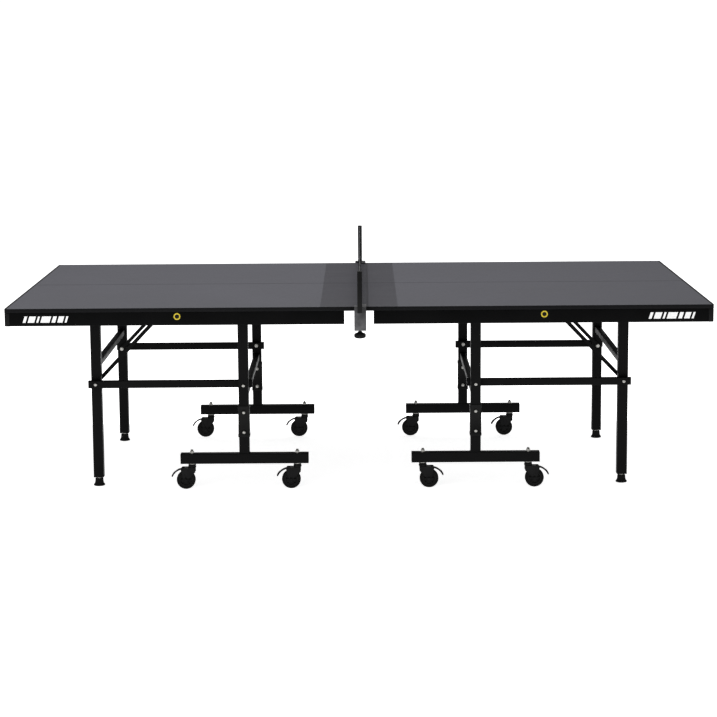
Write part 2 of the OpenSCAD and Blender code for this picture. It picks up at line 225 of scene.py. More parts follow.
def board_paint(top_z, end_x):
    """Charcoal playing surface: a fine stipple, darker beside the net, thin dark lines and painted edges."""
    band_half = 0.150
    end_line = 0.008
    centre_half = 0.0026
    edge_start = 0.0006
    made, add = new_material("board_paint")
    where = place(add)
    axes = add("ShaderNodeSeparateXYZ", {"Vector": where})
    along = maths(add, "ABSOLUTE", axes.outputs["X"])
    across = maths(add, "ABSOLUTE", axes.outputs["Y"])
    cloud = noise(add, where, 3.2, 3.0)
    stipple = noise(add, where, 1900, 3.0, 0.6)
    paint = ramp(add, cloud, (0.064, 0.064, 0.074), (0.074, 0.074, 0.085), 0.3, 0.7)
    fleck = ramp(add, stipple, (0.85, 0.85, 0.85), (1.12, 1.12, 1.12), 0.35, 0.65)
    paint = add("ShaderNodeVectorMath", {0: paint, 1: fleck}, operation="MULTIPLY").outputs[0]
    band = maths(add, "LESS_THAN", along, band_half)
    paint = mix_colour(add, maths(add, "MULTIPLY", band, 0.55), paint, (0.016, 0.015, 0.020))
    line = maths(add, "MAXIMUM", maths(add, "GREATER_THAN", along, end_x - end_line),
                 maths(add, "LESS_THAN", across, centre_half))
    edge = maths(add, "LESS_THAN", axes.outputs["Z"], top_z - edge_start)
    dark = maths(add, "MAXIMUM", line, edge)
    colour = mix_colour(add, dark, paint, (0.006, 0.006, 0.007))
    fibre = noise(add, where, 420, 5.0, 0.7)
    normal = bump(add, stipple, 0.30, 0.00025)
    normal = bump(add, maths(add, "MULTIPLY", fibre, edge), 0.5, 0.0005, normal)
    rough = ramp(add, cloud, 0.47, 0.55, 0.3, 0.7)
    rough = maths(add, "ADD", rough, maths(add, "MULTIPLY", dark, 0.25))
    shader = add("ShaderNodeBsdfPrincipled", {
        "Base Color": colour, "Roughness": rough, "Specular IOR Level": 0.2, "Normal": normal})
    finish_material(add, shader)
    return made


def moulded_plastic(name, tone=0.008, rough=0.48):
    """Black moulding with a spark-eroded texture."""
    made, add = new_material(name)
    where = place(add)
    texture = noise(add, where, 1500, 2.0, 0.6)
    patches = noise(add, where, 14, 3.0)
    colour = ramp(add, patches, (tone * 0.8,) * 3, (tone * 1.25,) * 3)
    shader = add("ShaderNodeBsdfPrincipled", {
        "Base Color": colour, "Roughness": ramp(add, patches, rough - 0.06, rough + 0.08),
        "Specular IOR Level": 0.16, "Normal": bump(add, texture, 0.35, 0.0003)})
    finish_material(add, shader)
    return made


def black_rubber(name, tone=0.008):
    """Rubber with a dusty bloom and a fine grain."""
    made, add = new_material(name)
    where = place(add)
    grain = noise(add, where, 900, 4.0, 0.7)
    dust = noise(add, where, 45, 5.0, 0.65)
    colour = ramp(add, dust, (tone,) * 3, (tone * 2.4, tone * 2.35, tone * 2.2), 0.45, 0.8)
    shader = add("ShaderNodeBsdfPrincipled", {
        "Base Color": colour, "Roughness": ramp(add, dust, 0.66, 0.88),
        "Specular IOR Level": 0.15, "Normal": bump(add, grain, 0.45, 0.0004)})
    finish_material(add, shader)
    return made


def zinc_plate():
    """Bright zinc with a slight yellow cast, tool marks and small dull patches."""
    made, add = new_material("zinc_plate")
    where = place(add)
    marks = add("ShaderNodeMapping", {"Vector": where, "Scale": (1, 1, 9)}).outputs["Vector"]
    scratch = noise(add, marks, 700, 3.0, 0.6)
    patches = noise(add, where, 160, 4.0)
    colour = ramp(add, patches, (0.36, 0.36, 0.35), (0.52, 0.51, 0.48))
    shader = add("ShaderNodeBsdfPrincipled", {
        "Base Color": colour, "Metallic": 1.0, "Roughness": ramp(add, patches, 0.24, 0.42),
        "Normal": bump(add, scratch, 0.25, 0.0002)})
    finish_material(add, shader)
    return made


def satin_steel(name, dark, light, metal):
    """Plated or blackened pressing, as on the clamps and casters, with faint rolling marks."""
    made, add = new_material(name)
    where = place(add)
    rolled = add("ShaderNodeMapping", {"Vector": where, "Scale": (1, 8, 1)}).outputs["Vector"]
    marks = noise(add, rolled, 420, 3.0)
    patches = noise(add, where, 30, 4.0)
    colour = ramp(add, patches, (dark, dark, dark * 1.03), (light, light, light * 1.03))
    shader = add("ShaderNodeBsdfPrincipled", {
        "Base Color": colour, "Metallic": metal, "Specular IOR Level": 0.2,
        "Roughness": ramp(add, patches, 0.34, 0.5), "Normal": bump(add, marks, 0.2, 0.0002)})
    finish_material(add, shader)
    return made


def woven_tape():
    """Plain-woven black tape: warp and weft ridges about half a millimetre apart."""
    made, add = new_material("woven_tape")
    where = place(add)
    ribs = [add("ShaderNodeTexWave", {"Vector": where, "Scale": 310, "Distortion": 0.6, "Detail": 1.0},
                bands_direction=axis).outputs["Fac"] for axis in ("Y", "Z")]
    weave = maths(add, "MULTIPLY", ribs[0], ribs[1])
    fluff = noise(add, where, 700, 3.0)
    colour = mix_colour(add, weave, (0.010, 0.010, 0.012), (0.040, 0.040, 0.045))
    shader = add("ShaderNodeBsdfPrincipled", {
        "Base Color": colour, "Roughness": ramp(add, fluff, 0.78, 0.95), "Specular IOR Level": 0.2,
        "Sheen Weight": 0.25, "Sheen Roughness": 0.5, "Normal": bump(add, weave, 0.6, 0.0004)})
    finish_material(add, shader)
    return made


def twisted_yarn():
    """Thin twisted yarn of the net, with the ply showing as slanting ridges."""
    made, add = new_material("twisted_yarn")
    where = place(add)
    ply = add("ShaderNodeTexWave", {"Vector": where, "Scale": 420, "Distortion": 1.5, "Detail": 2.0},
              bands_direction="DIAGONAL").outputs["Fac"]
    colour = mix_colour(add, ply, (0.008, 0.008, 0.010), (0.035, 0.035, 0.040))
    shader = add("ShaderNodeBsdfPrincipled", {
        "Base Color": colour, "Roughness": ramp(add, ply, 0.7, 0.92, 0.0, 1.0), "Specular IOR Level": 0.2,
        "Sheen Weight": 0.2, "Normal": bump(add, ply, 0.5, 0.0003)})
    finish_material(add, shader)
    return made


def enamel(name, low, high, rough=0.4):
    """Flat enamel or screen print with faint unevenness in its film."""
    made, add = new_material(name)
    where = place(add)
    film = noise(add, where, 260, 4.0)
    colour = ramp(add, film, low, high)
    shader = add("ShaderNodeBsdfPrincipled", {
        "Base Color": colour, "Roughness": ramp(add, film, rough - 0.05, rough + 0.1),
        "Normal": bump(add, film, 0.15, 0.0002)})
    finish_material(add, shader)
    return made


# ---------------------------------------------------------------- mesh tools
def hexed(apothem, angle):
    """The radius at an angle of a hexagon with this apothem."""
    sixth = math.pi / 3
    return apothem / math.cos((angle + sixth / 2) % sixth - sixth / 2)


def add_turned(bm, profile, at, axis=UP, segments=24, lobes=0, lobe_depth=0.0):
    """A closed turned solid. profile runs from the axis out and back to it, as (radius, height) points.
    A point with a third value, HEX, lies on a hexagon with that apothem."""
    turn = Vector(axis).to_track_quat("Z", "Y").to_matrix()
    rings = []
    for radius, height, *shape in profile:
        if radius < 1e-7:
            rings.append([bm.verts.new(turn @ Vector((0, 0, height)) + Vector(at))])
            continue
        ring = []
        for i in range(segments):
            angle = 2 * math.pi * i / segments
            r = hexed(radius, angle) if shape else radius
            r -= lobe_depth * (0.5 - 0.5 * math.cos(lobes * angle))
            point = Vector((r * math.cos(angle), r * math.sin(angle), height))
            ring.append(bm.verts.new(turn @ point + Vector(at)))
        rings.append(ring)
    for low, high in zip(rings, rings[1:]):
        for i in range(segments):
            j = (i + 1) % segments
            quad = [low[i % len(low)], low[j % len(low)], high[j % len(high)], high[i % len(high)]]
            corners = list(dict.fromkeys(quad))
            if len(corners) > 2:
                bm.faces.new(corners)


def add_ring(bm, profile, at, axis=UP, segments=48):
    """A turned ring. profile is a closed outline of (radius, height) points that stays off the axis."""
    turn = Vector(axis).to_track_quat("Z", "Y").to_matrix()
    rings = []
    for i in range(segments):
        angle = 2 * math.pi * i / segments
        rings.append([bm.verts.new(turn @ Vector((r * math.cos(angle), r * math.sin(angle), h)) + Vector(at))
                      for r, h in profile])
    for i, ring in enumerate(rings):
        after = rings[(i + 1) % segments]
        for k in range(len(profile)):
            n = (k + 1) % len(profile)
            bm.faces.new((ring[k], ring[n], after[n], after[k]))


def add_block(bm, low, high, rounding=0.0, segments=2, turn=None, at=(0, 0, 0)):
    """A box from its two corners, with its edges rounded, turned by a matrix and moved."""
    low, high = Vector(low), Vector(high)
    made = bmesh.ops.create_cube(bm, size=1)["verts"]
    for v in made:
        v.co = Vector((v.co[i] + 0.5) * (high[i] - low[i]) + low[i] for i in range(3))
    if rounding:
        edges = list({e for v in made for e in v.link_edges})
        done = bmesh.ops.bevel(bm, geom=edges, offset=rounding, segments=segments, profile=0.5,
                               affect="EDGES")
        made = list({v for f in done["faces"] for v in f.verts} | {v for v in made if v.is_valid})
    if turn is not None:
        bmesh.ops.rotate(bm, verts=made, matrix=turn)
    bmesh.ops.translate(bm, verts=made, vec=Vector(at))
    return made


def add_plate(bm, outline, low, high, to_world):
    """A flat plate: an outline of 2-D points, from low to high along w, placed by to_world(u, v, w)."""
    floor_ring = [bm.verts.new(to_world(u, v, low)) for u, v in outline]
    top_ring = [bm.verts.new(to_world(u, v, high)) for u, v in outline]
    bm.faces.new(floor_ring)
    bm.faces.new(top_ring)
    for i in range(len(outline)):
        j = (i + 1) % len(outline)
        bm.faces.new((floor_ring[i], floor_ring[j], top_ring[j], top_ring[i]))


def add_tube(bm, path, radius, sides=8, closed=False, ripple=0.0, waves=0):
    """A round rod along a path of points, with an even ripple in its thickness as a weld bead has."""
    path = [Vector(p) for p in path]
    count = len(path)
    rings = []
    for i, point in enumerate(path):
        before = path[(i - 1) % count] if closed or i else path[i]
        after = path[(i + 1) % count] if closed or i < count - 1 else path[i]
        ahead = (after - before).normalized()
        side = ahead.cross(UP if abs(ahead.z) < 0.9 else Vector((1, 0, 0))).normalized()
        lift = side.cross(ahead)
        r = radius * (1 + ripple * math.sin(2 * math.pi * waves * i / count))
        rings.append([bm.verts.new(point + (side * math.cos(a) + lift * math.sin(a)) * r)
                      for a in (2 * math.pi * k / sides for k in range(sides))])
    for i in range(count if closed else count - 1):
        low, high = rings[i], rings[(i + 1) % count]
        for k in range(sides):
            bm.faces.new((low[k], low[(k + 1) % sides], high[(k + 1) % sides], high[k]))
    if not closed:
        bm.faces.new(rings[0])
        bm.faces.new(rings[-1])


def smoothed(mesh, angle=38):
    mesh.shade_smooth()
    mesh.set_sharp_from_angle(angle=math.radians(angle))


def meshed(name, bm, material, angle=38):
    """Turns a bmesh into a mesh with its material, smooth but for its sharp edges."""
    bmesh.ops.recalc_face_normals(bm, faces=bm.faces)
    mesh = bpy.data.meshes.new(name)
    bm.to_mesh(mesh)
    bm.free()
    smoothed(mesh, angle)
    mesh.materials.append(material)
    return mesh


def put(name, mesh, body, replaced=(), where=None):
    """Places a mesh as a piece that rides on a body and stands for the CAD nodes named."""
    made = bpy.data.objects.new(name, mesh)
    bpy.context.scene.collection.objects.link(made)
    if where is not None:
        made.matrix_world = where
    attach(made, body)
    if replaced:
        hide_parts(*replaced)
    return made


def piece(name, bm, material, body, replaced=(), angle=38):
    return put(name, meshed(name, bm, material, angle), body, replaced)


def body_of(node):
    return next(body for body, members in frame["record"]["behaviour"]["bodies"].items() if node in members)


def rounded_node(node, material, radius, shortest, segments=3, angle=40):
    """A copy of a CAD node with its facets joined and its long outer arrises rounded, as on drawn tube."""
    bm = bmesh.new()
    bm.from_mesh(frame["nodes"][node].data)
    bmesh.ops.remove_doubles(bm, verts=bm.verts, dist=2e-6)
    bmesh.ops.dissolve_limit(bm, angle_limit=math.radians(0.6), verts=bm.verts, edges=bm.edges)
    arrises = [e for e in bm.edges if len(e.link_faces) == 2 and e.is_convex
               and e.calc_face_angle() > math.radians(angle) and e.calc_length() > shortest]
    bmesh.ops.bevel(bm, geom=arrises, offset=radius, offset_type="OFFSET", segments=segments, profile=0.5,
                    affect="EDGES", clamp_overlap=True)
    return piece(node + "_finished", bm, material, body_of(node), (node,), 32)


# ---------------------------------------------------------------- places, from the frame
TOP_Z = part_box("right_panel")[1].z
UNDER_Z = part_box("right_panel")[0].z
END_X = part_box("right_panel")[1].x
SIDE_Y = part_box("right_panel")[1].y
APRON_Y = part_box("right_apron_frame")[1].y
APRON_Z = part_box("right_apron_frame")[0].z
TUBE_HALF = (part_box("right_uprights")[1].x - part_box("right_uprights")[0].x) / 2
UPRIGHT_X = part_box("right_uprights")[1].x - TUBE_HALF
UPRIGHT_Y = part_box("right_uprights")[1].y - TUBE_HALF
LEG_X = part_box("right_leg_frame")[1].x - TUBE_HALF
LEG_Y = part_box("right_leg_frame")[1].y - TUBE_HALF
LEG_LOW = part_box("right_leg_frame")[0].z
STEM_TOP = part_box("right_t_bases")[1].z
BAR_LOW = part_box("right_t_bases")[0].z
BAR_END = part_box("right_t_bases")[1].x
COLLAR_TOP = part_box("right_base_caps")[1].z
PLUG_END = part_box("right_base_caps")[1].x
LINK_Z = JOINTS["right_link_swing"]["pos_m"][2]
LINK_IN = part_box("right_link_bars")[1].y - 0.020
LINK_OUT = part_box("right_link_bars")[1].y
STAY_IN = LEG_Y - TUBE_HALF - 0.019
# Heights and sizes that no node's box gives.
BAR_TOP = BAR_LOW + 0.040
BASE_CROSSBAR_Z = STEM_TOP + 0.098
LEG_CROSSBAR_Z = LINK_Z + 0.0725
CROSSBAR_HALF = 0.0125
COLLAR_BOLTS_Z = (STEM_TOP - 0.038, STEM_TOP + 0.042)
COLLAR_LOW = STEM_TOP - 0.058
COLLAR_HALF = TUBE_HALF + 0.0031
BOLT_R = 0.005
BOLT_HOLE_R = 0.0052
SPACER_R = 0.009
STUD_LOW = 0.082


# ---------------------------------------------------------------- fasteners
def add_button_bolt(bm, at, axis, radius=0.0072, height=0.005):
    """A domed head with a hexagon socket, seen from outside: at is the point under the head."""
    socket = radius * 0.36
    add_turned(bm, [(0, 0), (radius * 0.94, 0), (radius, height * 0.18), (radius * 0.93, height * 0.55),
                    (radius * 0.74, height * 0.86), (radius * 0.52, height), (socket, height, HEX),
                    (socket, height * 0.4, HEX), (0, height * 0.3)], at, axis)


def add_hex_head(bm, at, axis, apothem=0.0065, height=0.005):
    """A chamfered hexagon head or nut on a washer."""
    washer = 0.0012
    add_turned(bm, [(0, 0), (apothem * 1.30, 0), (apothem * 1.36, washer * 0.4), (apothem * 1.30, washer),
                    (apothem, washer * 1.05, HEX), (apothem, height * 0.82, HEX), (apothem * 0.98, height),
                    (0, height)], at, axis)


def add_thread(bm, at, axis, radius, length, pitch=0.00125):
    """A threaded rod: ridges and grooves one pitch apart, with a chamfered end."""
    turns = int(length / pitch)
    profile = [(0, 0)]
    for k in range(turns):
        profile += [(radius * 0.86, k * pitch), (radius, (k + 0.5) * pitch)]
    profile += [(radius * 0.86, turns * pitch), (0, turns * pitch)]
    add_turned(bm, profile, at, axis, 20)


def add_rod(bm, at, axis, radius, length):
    add_turned(bm, [(0, 0), (radius, 0), (radius, length), (0, length)], at, axis, 20)


def add_spacer(bm, at, axis, length):
    """A plain tube round a bolt."""
    add_ring(bm, [(BOLT_HOLE_R, 0), (SPACER_R, 0), (SPACER_R, length), (BOLT_HOLE_R, length)], at, axis, 24)


def base_bolts(side, s, zinc):
    """Pivot bolts of the link bars, bolts through the collars, and the casters' studs, washers and nuts."""
    bm = bmesh.new()
    nut_h, tail = 0.010, 0.0062
    thrust_washer = [(BOLT_HOLE_R, 0), (0.0125, 0), (0.013, 0.0008), (0.013, 0.0032), (0.0125, 0.004),
                     (BOLT_HOLE_R, 0.004)]
    for row, e in ROWS.items():
        out, x = Vector((0, e, 0)), s * UPRIGHT_X
        add_button_bolt(bm, (x, e * (UPRIGHT_Y + TUBE_HALF), LINK_Z), out)
        add_rod(bm, (x, e * LINK_IN, LINK_Z), out, BOLT_R, UPRIGHT_Y + TUBE_HALF - LINK_IN)
        add_spacer(bm, (x, e * LINK_OUT, LINK_Z), out, 0.0077)
        add_hex_head(bm, (x, e * (LINK_IN - 0.0003), LINK_Z), -out, 0.006, 0.0066)
        for z in COLLAR_BOLTS_Z:
            add_button_bolt(bm, (x, e * (UPRIGHT_Y + COLLAR_HALF), z), out, 0.0070)
            add_hex_head(bm, (x, e * (UPRIGHT_Y - COLLAR_HALF), z), -out, 0.0055, tail)
            add_thread(bm, (x, e * (UPRIGHT_Y - COLLAR_HALF - tail), z), -out, 0.004, 0.003)
        for k in PLACES:
            sx, sy = JOINTS[f"{side}_{row}_{k}_swivel"]["pos_m"][:2]
            add_turned(bm, [(0, 0), (0.011, 0), (0.011, 0.0019), (0, 0.0019)], (sx, sy, BAR_TOP), UP)
            add_hex_head(bm, (sx, sy, BAR_TOP + 0.001), UP, 0.0075, nut_h - 0.001)
            add_thread(bm, (sx, sy, BAR_TOP + nut_h), UP, BOLT_R, 0.005)
            add_ring(bm, thrust_washer, (sx, sy, BAR_LOW - 0.00405), UP, 32)
            add_rod(bm, (sx, sy, STUD_LOW), UP, BOLT_R, BAR_TOP - STUD_LOW)
            add_hex_head(bm, (sx, sy, STUD_LOW + 0.0006), -UP, 0.0062, 0.0034)
    piece(f"{side}_base_bolts", bm, zinc, f"{side}_base", (f"{side}_base_hardware",))


def leg_bolts(side, s, zinc):
    """Pivot bolts through link bar, leg and stay, with the spacers between them."""
    bm = bmesh.new()
    x = s * LEG_X
    for e in ROWS.values():
        out = Vector((0, e, 0))
        add_button_bolt(bm, (x, e * (LINK_OUT + 0.0003), LINK_Z), out, 0.0072, 0.0047)
        add_rod(bm, (x, e * (STAY_IN - 0.001), LINK_Z), out, BOLT_R, LINK_OUT + 0.001 - STAY_IN)
        for low, high in ((LEG_Y + TUBE_HALF, LINK_IN - 0.0002), (STAY_IN + 0.0062, LEG_Y - TUBE_HALF)):
            add_spacer(bm, (x, e * low, LINK_Z), out, high - low)
        add_hex_head(bm, (x, e * (STAY_IN - 0.0003), LINK_Z), -out, 0.006, 0.0066)
    piece(f"{side}_leg_pivot_bolts", bm, zinc, f"{side}_legs", (f"{side}_leg_bolts",))


def top_fasteners(side, s, zinc):
    """Hinge pins, with a nut outside and a low riveted end inside where the folded link bar passes, and the
    screws that hold the rails to the panel."""
    bm = bmesh.new()
    pivot_z = JOINTS[f"{side}_top_fold"]["pos_m"][2]
    ear_out, pin_end = TUBE_HALF + 0.006, 0.003
    rivet = [(0, 0), (0.0055, 0), (0.0050, 0.0008), (0.0030, 0.0013), (0, 0.0014)]
    screw = [(0, 0), (0.0055, 0), (0.0050, 0.0013), (0.0030, 0.0022), (0.0016, 0.0023, HEX),
             (0.0016, 0.0009, HEX), (0, 0.0008)]
    rail_xs = (0.270, LEG_X - 0.216, LEG_X + 0.144)
    screw_ys = (-0.66, -0.33, 0, 0.33, 0.66)
    for x, y in ((UPRIGHT_X, UPRIGHT_Y), (LEG_X, LEG_Y)):
        for e in ROWS.values():
            add_hex_head(bm, (s * x, e * (y + ear_out + pin_end), pivot_z), (0, e, 0), 0.006, 0.005)
            add_turned(bm, rivet, (s * x, e * (y - ear_out - 0.0002), pivot_z), (0, -e, 0), 20)
    rail_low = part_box(f"{side}_cross_rails")[0].z
    for x in rail_xs:
        for y in screw_ys:
            add_turned(bm, screw, (s * x, y, rail_low), -UP, 18)
    piece(f"{side}_top_screws", bm, zinc, f"{side}_top")


# ---------------------------------------------------------------- steel frame
def square_path(half, corner, to_world, steps=5):
    """Points round a square with rounded corners, in the plane that to_world(u, v) sets."""
    path = []
    for quarter in range(4):
        middle = math.radians(45 + 90 * quarter)
        cu = math.copysign(half - corner, math.cos(middle))
        cv = math.copysign(half - corner, math.sin(middle))
        for k in range(steps + 1):
            a = middle + math.radians(-45 + 90 * k / steps)
            path.append(to_world(cu + corner * math.cos(a), cv + corner * math.sin(a)))
    return path


def spread_path(path, step):
    """The same closed path with points an even step apart."""
    points = []
    for a, b in zip(path, path[1:] + path[:1]):
        a, b = Vector(a), Vector(b)
        count = max(1, round((b - a).length / step))
        points += [a.lerp(b, k / count) for k in range(count)]
    return points


def add_weld(bm, to_world, half=TUBE_HALF):
    """A rippled bead round the end of a square tube."""
    corner, step, bead_r = 0.0025, 0.0012, 0.0021
    path = spread_path(square_path(half, corner, to_world), step)
    add_tube(bm, path, bead_r, 6, closed=True, ripple=0.16, waves=len(path) // 3)


def frame_welds(side, s, coat):
    bm = bmesh.new()
    for e in ROWS.values():
        x, y = s * UPRIGHT_X, e * UPRIGHT_Y
        add_weld(bm, lambda u, v: (x + u, y + v, BAR_TOP))
        inner = e * (UPRIGHT_Y - TUBE_HALF)
        add_weld(bm, lambda u, v: (x + u, inner, BASE_CROSSBAR_Z + v), CROSSBAR_HALF)
    piece(f"{side}_base_welds", bm, coat, f"{side}_base")
    bm = bmesh.new()
    for e in ROWS.values():
        x, inner = s * LEG_X, e * (LEG_Y - TUBE_HALF)
        add_weld(bm, lambda u, v: (x + u, inner, LEG_CROSSBAR_Z + v), CROSSBAR_HALF)
    piece(f"{side}_leg_welds", bm, coat, f"{side}_legs")


def add_sleeve(bm, profile, at, corner):
    """A square sleeve with rounded corners from a closed outline of (half width, height) points."""
    loops = [[bm.verts.new(p) for p in square_path(half, corner, lambda u, v: (at[0] + u, at[1] + v, z))]
             for half, z in profile]
    for low, high in zip(loops, loops[1:] + loops[:1]):
        for i in range(len(low)):
            j = (i + 1) % len(low)
            bm.faces.new((low[i], low[j], high[j], high[i]))


def base_mouldings(side, s, plastic):
    """Collars with a lip at each end and a shallow waist, and the round-edged end plugs of the floor bars."""
    bm = bmesh.new()
    plug_l, plug_half, plug_inset = 0.018, 0.0178, 0.0022
    lip, step, waist = 0.011, 0.0015, COLLAR_HALF - 0.0009
    bore = TUBE_HALF + 0.0001
    profile = [(bore, COLLAR_LOW), (COLLAR_HALF - 0.0008, COLLAR_LOW), (COLLAR_HALF, COLLAR_LOW + 0.001),
               (COLLAR_HALF, COLLAR_LOW + lip), (waist, COLLAR_LOW + lip + step),
               (waist, COLLAR_TOP - lip - step), (COLLAR_HALF, COLLAR_TOP - lip),
               (COLLAR_HALF, COLLAR_TOP - 0.001), (COLLAR_HALF - 0.0008, COLLAR_TOP), (bore, COLLAR_TOP)]
    for e in ROWS.values():
        add_sleeve(bm, profile, (s * UPRIGHT_X, e * UPRIGHT_Y), 0.0030)
        for x, way in ((BAR_END, 1), (2 * UPRIGHT_X - BAR_END, -1)):
            cap = sorted((s * x, s * (x + way * (PLUG_END - BAR_END))))
            y = e * UPRIGHT_Y
            add_block(bm, (cap[0], y - TUBE_HALF, BAR_LOW), (cap[1], y + TUBE_HALF, BAR_TOP), 0.0013, 3)
            plug = sorted((s * (x - way * plug_l), s * x))
            add_block(bm, (plug[0], y - plug_half, BAR_LOW + plug_inset),
                      (plug[1], y + plug_half, BAR_TOP - plug_inset), 0.001, 1)
    piece(f"{side}_base_mouldings", bm, plastic, f"{side}_base", (f"{side}_base_caps",))


def levelling_foot(side, row, rubber, zinc):
    """Moulded foot with a ribbed skirt, on a threaded stud with its lock nut."""
    node, body = f"{side}_{row}_foot", f"{side}_{row}_levelling_foot"
    low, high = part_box(node)
    at = ((low.x + high.x) / 2, (low.y + high.y) / 2, 0)
    r = (high.x - low.x) / 2
    cone_top = LEG_LOW - 0.006
    bm = bmesh.new()
    pad = [(0, 0), (r - 0.0022, 0), (r - 0.0006, 0.0007), (r, 0.002), (r, 0.0045), (r - 0.001, 0.0060),
           (r - 0.0042, 0.0098), (r - 0.0058, 0.0165), (0.0162, 0.0235), (0.0160, cone_top - 0.0012),
           (0.0148, cone_top), (0.0125, cone_top), (0.0115, cone_top - 0.001), (0, cone_top - 0.001)]
    add_turned(bm, pad, at, UP, 72, 24, 0.0005)
    piece(f"{node}_pad", bm, rubber, body, (node,))
    bm = bmesh.new()
    add_hex_head(bm, (at[0], at[1], cone_top - 0.0008), UP, 0.0068, LEG_LOW - 0.0004 - cone_top)
    add_thread(bm, (at[0], at[1], LEG_LOW - 0.001), UP, BOLT_R, high.z - LEG_LOW)
    piece(f"{node}_stud", bm, zinc, body)


def build_frame(side, s, mats):
    tube_nodes = ("apron_frame", "cross_rails", "t_bases", "uprights", "link_bars", "leg_frame")
    for part in tube_nodes:
        # The apron frame takes the darker copy of the black coat, and its extra darkness is painted shade.
        rounded_node(f"{side}_{part}", mats["apron"] if part == "apron_frame" else mats["coat"], 0.0024, 0.06)
    rounded_node(f"{side}_panel", mats["board"], 0.0009, 0.3, 2)
    rounded_node(f"{side}_hinge_brackets", mats["coat"], 0.0006, 0.012, 2)
    rounded_node(f"{side}_stays", mats["coat"], 0.0014, 0.05, 2)
    rounded_node(f"{side}_apron_plugs", mats["plastic"], 0.0009, 0.012, 2)
    base_mouldings(side, s, mats["plastic"])
    frame_welds(side, s, mats["coat"])
    base_bolts(side, s, mats["zinc"])
    leg_bolts(side, s, mats["zinc"])
    top_fasteners(side, s, mats["zinc"])
    for row in ROWS:
        levelling_foot(side, row, mats["rubber"], mats["zinc"])


# ---------------------------------------------------------------- casters
WHEEL_R = (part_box("right_near_outer_wheel")[1].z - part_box("right_near_outer_wheel")[0].z) / 2
TREAD_HALF = 0.012
HUB_HALF = 0.0134
BRAKE_X = 0.040
BRAKE_Z = 0.080
PEDAL_SLOPE = math.radians(37)
PEDAL_L = 0.050


def tread_mesh(rubber):
    """Rubber tyre with round shoulders and two fine grooves. Its axle lies along Y through the origin."""
    inside, shoulder, groove = 0.0262, 0.0055, 0.0006
    outline = [(inside, -TREAD_HALF + 0.001), (WHEEL_R - shoulder, -TREAD_HALF)]
    for k in range(7):
        a = math.radians(-90 + 90 * k / 6)
        outline.append((WHEEL_R - shoulder + shoulder * math.cos(a),
                        -TREAD_HALF + shoulder + shoulder * math.sin(a)))
    outline += [(WHEEL_R, -0.0046), (WHEEL_R - groove, -0.0042), (WHEEL_R - groove, -0.0036),
                (WHEEL_R, -0.0032)]
    outline += [(r, -y) for r, y in reversed(outline)]
    bm = bmesh.new()
    add_ring(bm, outline, (0, 0, 0), (0, 1, 0), 72)
    return meshed("caster_tread", bm, rubber, 30)


def core_mesh(plastic):
    """Moulded wheel centre: rim, dished web with six ribs a side, and the boss round the axle."""
    half = TREAD_HALF - 0.0006
    outline = [(0.00405, -HUB_HALF), (0.0086, -HUB_HALF), (0.0092, -HUB_HALF + 0.0006), (0.0096, -0.0032),
               (0.0225, -0.0032), (0.0232, -half + 0.0005), (0.0237, -half), (0.0258, -half),
               (0.0262, -half + 0.0005)]
    outline += [(r, -y) for r, y in reversed(outline)]
    bm = bmesh.new()
    add_ring(bm, outline, (0, 0, 0), (0, 1, 0), 60)
    for k in range(6):
        turn = Matrix.Rotation(math.radians(60 * k), 3, "Y")
        for way in (-1, 1):
            low, high = sorted((way * 0.0028, way * (half - 0.0012)))
            add_block(bm, (0.0090, low, -0.0012), (0.0234, high, 0.0012), 0.0005, 2, turn)
    return meshed("caster_core", bm, plastic, 34)


def pedal_mesh(plastic):
    """Brake pedal: a barrel round its pin and a blade that arches out over the wheel, then hooks down to a
    wider, thicker, ribbed toe. Its pin lies along Y through the origin, and the blade runs out along +X."""
    stations = 18
    toe = Matrix.Rotation(PEDAL_SLOPE, 3, "Y") @ Vector((PEDAL_L, 0, 0))
    spine = [Vector((0.001, 0, 0.0002)), Vector((0.018, 0, -0.0010)), Vector((0.034, 0, -0.0150)), toe]

    def spine_at(t):
        weights = ((1 - t) ** 3, 3 * t * (1 - t) ** 2, 3 * t * t * (1 - t), t ** 3)
        return sum((w * p for w, p in zip(weights, spine)), Vector())

    bm = bmesh.new()
    rings = []
    for k in range(stations + 1):
        t = k / stations
        middle = spine_at(t)
        along = (spine_at(min(1, t + 0.01)) - spine_at(max(0, t - 0.01))).normalized()
        out = Vector((-along.z, 0, along.x))
        swell = min(1, max(0, (t - 0.50) / 0.25))
        swell = swell * swell * (3 - 2 * swell)
        closing = 1 if k < stations else 0.84
        half = (0.0108 + 0.0020 * swell) * closing
        low, high = -0.0012 * closing, (0.0028 + 0.0010 * swell) * closing
        corner = 0.0007
        loop = [(-half, low + corner), (-half + corner, low), (half - corner, low), (half, low + corner),
                (half, high - corner), (half - corner, high), (-half + corner, high), (-half, high - corner)]
        rings.append([bm.verts.new(middle + out * z + Vector((0, y, 0))) for y, z in loop])
    for low, high in zip(rings, rings[1:]):
        for i in range(8):
            bm.faces.new((low[i], low[(i + 1) % 8], high[(i + 1) % 8], high[i]))
    bm.faces.new(rings[0])
    bm.faces.new(rings[-1])
    for t in (0.70, 0.78, 0.86, 0.94):
        along = (spine_at(t + 0.01) - spine_at(t - 0.01)).normalized()
        turn = Matrix.Rotation(math.atan2(-along.z, along.x), 3, "Y")
        add_block(bm, (-0.0007, -0.0105, 0.0030), (0.0007, 0.0105, 0.0044), 0.0004, 1, turn, spine_at(t))
    add_turned(bm, [(0, 0), (0.0042, 0), (0.0046, 0.0005), (0.0046, 0.0231), (0.0042, 0.0236), (0, 0.0236)],
               (0, -0.0118, 0), (0, 1, 0), 24)
    return meshed("brake_pedal", bm, plastic, 34)


